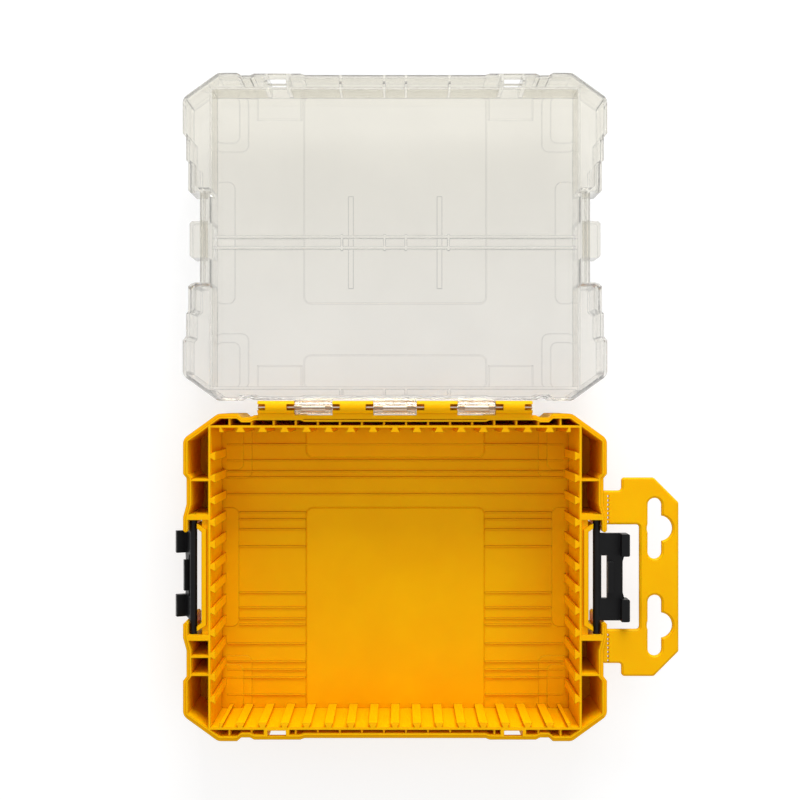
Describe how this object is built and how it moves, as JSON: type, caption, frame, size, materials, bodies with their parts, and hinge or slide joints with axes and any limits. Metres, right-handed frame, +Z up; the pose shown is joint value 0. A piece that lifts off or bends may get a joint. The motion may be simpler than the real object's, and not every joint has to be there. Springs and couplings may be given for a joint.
{
  "type": "tool storage case",
  "caption": "Open double-walled tool storage case with a hinged clear lid, pivoting side latches and a slotted hang tab.",
  "frame": {"origin": "centre of the tray's underside, on the surface it stands on", "axes": "+X along the hinge towards the hang tab, +Y from the front edge to the hinge and the open lid, +Z up"},
  "size_m": [0.2619, 0.3434, 0.0435],
  "materials": {
    "tray_plastic": "satin moulded polypropylene",
    "lid_plastic": "clear glossy moulding",
    "pin_steel": "bright drawn steel",
    "latch_plastic": "satin black moulding"
  },
  "bodies": {
    "tray": {"base_tray": "tray_plastic", "hinge_pin": "pin_steel", "hang_tab": "tray_plastic"},
    "lid": {"lid": "lid_plastic"},
    "left_latch": {"left_latch": "latch_plastic"},
    "right_latch": {"right_latch": "latch_plastic"}
  },
  "joints": [
    {"name": "lid_hinge", "type": "hinge", "parent": "tray", "child": "lid", "pos_m": [0, 0.0875, 0.04015], "axis": [1, 0, 0], "range_deg": [0, 180]},
    {"name": "left_latch_pivot", "type": "hinge", "parent": "tray", "child": "left_latch", "pos_m": [-0.1041, 0, 0.036], "axis": [0, 1, 0], "range_deg": [-8, 158]},
    {"name": "right_latch_pivot", "type": "hinge", "parent": "tray", "child": "right_latch", "pos_m": [0.1041, 0, 0.036], "axis": [0, 1, 0], "range_deg": [-90, 76]}
  ]
}
